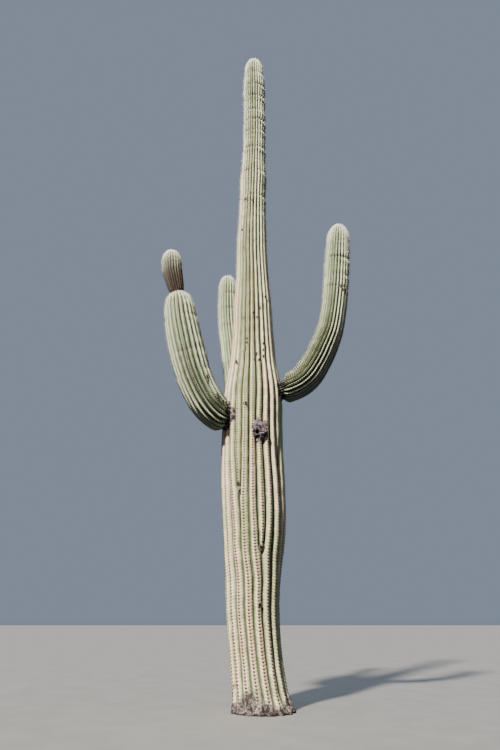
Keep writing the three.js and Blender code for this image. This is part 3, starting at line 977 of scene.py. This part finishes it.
# Each tone as (old skin, young skin), for the trunk, the arms and the head; cork as (dark, light)
TRUNK_TONES, ARM_TONES, HEAD_TONES = {}, {}, {}
for part, *looks in (
    ("stripe", (0xA88A72, 0x9C9C80), (0x929278, 0x969C76), (0x2C211A, 0xA0A288)),
    ("flank", (0xD4C9A2, 0xE0E8C0), (0xC2CAAC, 0xAEBC98), (0x322720, 0xA4A88C)),
    ("blotch", (0xA6B27E, 0xA8B88C), (0xAEB894, 0xA4B488), (0x2A221A, 0x9AA280)),
    ("blush", (0xF2BA9C, 0xDCD0B2), (0xCCBCA2, 0xC8C6AA), (0x5E4A38, 0x5E4A38)),
    # slope and groove are partly the skin's own darker colour and partly painted shade in the grooves
    ("slope", (0xA6A680, 0x747C5C), (0x6E7A58, 0x828C6C), (0x1C1812, 0x707858)),
    ("groove", (0x50543C, 0x2A321E), (0x262C1E, 0x464E34), (0x0E0B08, 0x3C4430)),
    ("ring", (0x2A211C, 0x4E4634), (0x3A3228, 0x4E4A38), (0x1C150F, 0x5E5A44)),
    ("joint", (0x4C4434, 0x2A2A18), (0x3C2E22, 0x30241A), (0x2A1E14, 0x2A1E14)),
    ("cork", (0x221B1D, 0x8C7E78), (0x221B1D, 0x8C7E78), (0x1A120C, 0x74543A)),
):
    TRUNK_TONES[part], ARM_TONES[part], HEAD_TONES[part] = looks
LEDGE_HIGHLIGHT = 0xEFEAD2  # painted highlight on the ledge below a joint
CRACK = 0x1E1816  # the cracks in cork
# The wound's fold and hole colours are painted shade in its folds and holes
WOUND = SimpleNamespace(dark=0x2E262A, light=0x7A6E70, fold=0x1C1718, hole=0x060505)
PLAIN_COLOURS = {  # colour and roughness
    "old_felt": (0x1C1511, 0.9),
    "felt": (0x4A3F33, 0.9),
    "young_felt": (0xB0A88C, 0.85),
    "brown_felt": (0x766850, 0.9),
    "straw_spines": (0xEAE5D4, 0.45),
    "grey_spines": (0xA59D8E, 0.6),
    "dark_spines": (0x4B4038, 0.6),
    "rust_spines": (0x4A2E1E, 0.6),
}


# Limbs


def pixel_spots(points, out, spots):
    """1 on the front where the photograph shows one of the spots and 0 away from them."""
    x, y, _ = project(points)
    found = np.zeros(x.shape)
    for spot_x, spot_y, reach in spots:
        off = np.hypot(x - spot_x, y - spot_y) / reach
        found = np.maximum(found, np.exp(-(off**2) * 0.9))
    towards_camera = ((CAMERA_PLACE / MM - points) * out).sum(-1)
    return found * (towards_camera > 0)


def trunk_cork(limb, points, out, along):
    """Cork at the woody foot, round the arms' necks and the old wound, and in a band beside the left arm."""
    foot = smooth_step(*CORKY_FOOT, along + 150 * noise(points, 110, 11)) * FOOT_CORK
    middle, side, wound_out, up = scar_frame()
    offset = points - middle
    local = np.stack([(offset @ side) / (SCAR.width / 2), (offset @ up) / (SCAR.tall / 2)], -1)
    facing = (offset @ wound_out) > -SCAR.width
    ragged = 1 + 0.3 * noise(points, 45, 12)
    wound = smooth_step(1.25, 0.85, np.linalg.norm(local, axis=-1) * ragged) * facing
    necks = 0
    for arm in ARMS:
        frame_at, _ = planar_frame(arm.path, arm.azimuth)
        spot = frame_at(np.array([NECK_OUT]))[0][0]
        ragged = 1 + 0.25 * noise(points, arm.cork_reach * 0.6, 13)
        off = np.linalg.norm(points - spot, axis=-1) * ragged
        necks = np.maximum(necks, smooth_step(arm.cork_reach + 30, arm.cork_reach, off))
    band = 1.3 * pixel_spots(points, out, CORK_SPOTS)
    return np.maximum.reduce([foot, wound, necks, band])


def cross_bands(points, along, groove, slow, size, seed):
    """Noise in bands across a limb, fainter in the grooves."""
    across = np.stack([along, points[..., 0] * slow, points[..., 1] * slow], -1)
    return noise(across, size, seed) * (1 - 0.6 * groove)


def trunk_relief(limb, points, along, groove, cork):
    lumps = layered(points, [[2.2, 170, 21], [0.9, 48, 22]])
    high = smooth_step(3600, 6200, along)
    bands = (1.2 + 1.6 * high) * cross_bands(points, along, groove, 0.12, 62, 23)
    foot = smooth_step(420, 60, along) * 9 * noise(points * [1, 1, 0.35], 55, 24)
    bark = cork * (9 * (ridged(points, 42, 25) - 0.5) + 4 * noise(points, 16, 27))
    return lumps + bands + foot + bark


def arm_cork(limb, points, out, along):
    """Cork round an arm's narrow neck."""
    return smooth_step(limb.neck + 8, limb.neck - 14, along + 12 * noise(points, 40, 31))


def arm_relief(limb, points, along, groove, cork):
    lumps = layered(points, [[1.8, 130, 41], [0.8, 40, 42]])
    bands = 2.0 * cross_bands(points, along, groove, 0.1, 70, 43)
    knobs = KNOB * bell(along - limb.neck - 26, 24) * (1 - groove)
    rings = np.stack([along * 1.6, points[..., 1] * 0.7, points[..., 2] * 0.7], -1)
    bark = cork * (15 * (ridged(rings, 44, 45) - 0.6) + 6 * noise(points, 17, 47))
    return lumps + bands + knobs + bark


def head_cork(limb, points, out, along):
    return smooth_step(NECK + 36, NECK + 10, along + 9 * noise(points, 30, 51))


def head_relief(limb, points, along, groove, cork):
    return layered(points, [[1.4, 90, 52], [0.7, 30, 53], [3 * cork, 18, 54]])


def drawn_in(pairs, end, dome):
    """The radii with their last stretch drawn in by what the spines there stand out."""
    shoulder = end - dome
    begin = shoulder - DRAWN_IN_OVER
    kept = [pair for pair in pairs if pair[0] < begin]
    for along in np.linspace(begin, end, 8):
        inward = 0.5 * SPINE_HALO * smooth_step(begin, shoulder, along)
        kept.append([along, float(smooth_through(pairs)(along)) - inward])
    return kept


def make_limb(table, cork, relief):
    limb = SimpleNamespace(**{**SHARED, **vars(table)}, cork=cork, relief=relief)
    limb.frame_at, reach = trunk_frame, limb.end
    if limb.path:
        limb.frame_at, reach = planar_frame(limb.path, limb.azimuth)
    if limb.end is None:
        limb.end = reach - SPINE_HALO
    if limb.spiny_tip:
        limb.radii = drawn_in(limb.radii, reach, limb.dome)
    limb.ribs_at = rib_layout(limb)
    return limb


def make_limbs():
    trunk = make_limb(TRUNK, trunk_cork, trunk_relief)
    arms = [make_limb(arm, arm_cork, arm_relief) for arm in ARMS]
    return trunk, *arms, make_limb(HEAD, head_cork, head_relief)


def dress_limbs():
    trunk, left, right, rear, head = [grow_skin(limb) for limb in make_limbs()]
    trunk_mat = skin_material("trunk_skin", TRUNK_TONES, (0.66, 0.84))
    # The arms' old skin gets painted shade further up its ribs' flanks
    arm_mat = skin_material("arm_skin", ARM_TONES, (0.66, 0.86), 0.1)
    head_mat = skin_material("head_skin", HEAD_TONES, (0.66, 0.86))
    plain = {name: plain_colour(name, *look) for name, look in PLAIN_COLOURS.items()}
    felt = [plain[name] for name in ("old_felt", "felt", "young_felt")]
    head_felt = [plain["brown_felt"], plain["young_felt"]]
    spines = [plain[name] for name in ("straw_spines", "grey_spines", "dark_spines", "rust_spines")]
    callus = plain_grain("callus", 0x2C2420, 0x5E5248, 260, 0.9)
    # Near-black painted shade for the floors of the small holes
    pit = plain_grain("pit", 0x0C0908, 0x1E1815, 300, 0.95, 0.1)

    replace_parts(skin_piece(trunk, trunk_mat), "trunk")
    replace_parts(skin_piece(left, arm_mat), "left_arm_lower", "left_arm_upper")
    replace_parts(skin_piece(right, arm_mat), "right_arm_lower", "right_arm_upper")
    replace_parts(skin_piece(rear, arm_mat), "rear_arm_lower", "rear_arm_upper")
    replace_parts(skin_piece(head, head_mat), "left_arm_head")
    old_wound(wound_material())
    for skin in (trunk, left, right):
        callused_holes(skin, [callus, pit], 60 + skin.limb.seed)

    clear = [(seen_at(trunk, x, y)[0], radius * HOLE_CLEARANCE) for x, y, radius in TRUNK.holes]
    on_trunk = plant_areoles(trunk, clear)
    on_trunk = pick(on_trunk, on_trunk.place[:, 2] > BARE_FOOT)
    height = on_trunk.place[:, 2]
    felt_pads("trunk_areoles", on_trunk, felt, PAD_SIZE, 201)
    for part, low, high in SPINE_ZONES:
        zone = pick(on_trunk, (height >= low) & (height < high))
        spine_tuft(f"trunk_spines_{part}", zone, spines, 0, 211 + low)
    for skin in (left, right, rear, head):
        name, seed = skin.limb.name, skin.limb.seed
        areoles = plant_areoles(skin)
        pads, pad_size = (head_felt, HEAD_PAD_SIZE) if skin is head else (felt, PAD_SIZE)
        felt_pads(f"{name}_areoles", areoles, pads, pad_size, 220 + seed)
        spine_tuft(f"{name}_spines", areoles, spines, skin.limb.rust, 230 + seed)


# Camera, floor and light


def add_object(name, data):
    made = bpy.data.objects.new(name, data)
    bpy.context.scene.collection.objects.link(made)
    return made


def aim_camera():
    data = bpy.data.cameras.new("camera")
    data.sensor_width = SENSOR
    data.lens = SENSOR * FOCAL_PIXELS / max(PHOTO_WIDTH, PHOTO_HEIGHT)
    camera = add_object("camera", data)
    camera.location = CAMERA_PLACE
    camera.rotation_euler = (math.pi / 2 + TILT, 0, 0)
    bpy.context.scene.camera = camera


def lay_floor():
    """A pale floor. It gives the plant no bounced light, so the undersides of the arms stay dark."""
    corners = [(FLOOR_REACH * x, FLOOR_REACH * y, 0) for x, y in ((-1, -1), (1, -1), (1, 1), (-1, 1))]
    mesh = bpy.data.meshes.new("floor")
    mesh.from_pydata(corners, [], [(0, 1, 2, 3)])
    mesh.materials.append(plain_grain("floor", 0xC9C5BC, 0xD2CEC6, 3.0, 0.85))
    floor = add_object("floor", mesh)
    floor.visible_diffuse = False


def light_scene():
    """A key light from high on the left, as in the photograph, a weak one from behind, and the sky."""
    warm, cool, sky = (1.0, 0.95, 0.88), (0.86, 0.93, 1.0), (0.64, 0.77, 1.0, 1)
    for name, energy, spread, colour, tilt, turn, receivers in (
        ("key", 3.0, 4, warm, 46, -29, None),
        ("key_on_plant", 12.6, 4, warm, 46, -29, PLANT),
        ("back_on_plant", 2.2, 20, cool, 58, 180, PLANT),
    ):
        sun = bpy.data.lights.new(name, "SUN")
        sun.energy = energy
        sun.angle = math.radians(spread)
        sun.color = colour
        made = add_object(name, sun)
        made.rotation_euler = (math.radians(tilt), 0, math.radians(turn))
        made.light_linking.receiver_collection = receivers

    # The sky is dimmer below the horizon
    world = bpy.data.worlds.new("studio")
    world.use_nodes = True
    tree = world.node_tree
    towards = add_node(tree, "TexCoord", {})["Generated"]
    rising = add_node(tree, "SeparateXYZ", {"Vector": towards})["Z"]
    horizon = {"Value": rising, "From Min": -0.15, "From Max": 0.0, "To Min": 0.12, "To Max": 0.34}
    strength = add_node(tree, "MapRange", horizon)["Result"]
    feed(tree, tree.nodes["Background"], {"Color": sky, "Strength": strength})
    bpy.context.scene.world = world


aim_camera()
lay_floor()
light_scene()
dress_limbs()
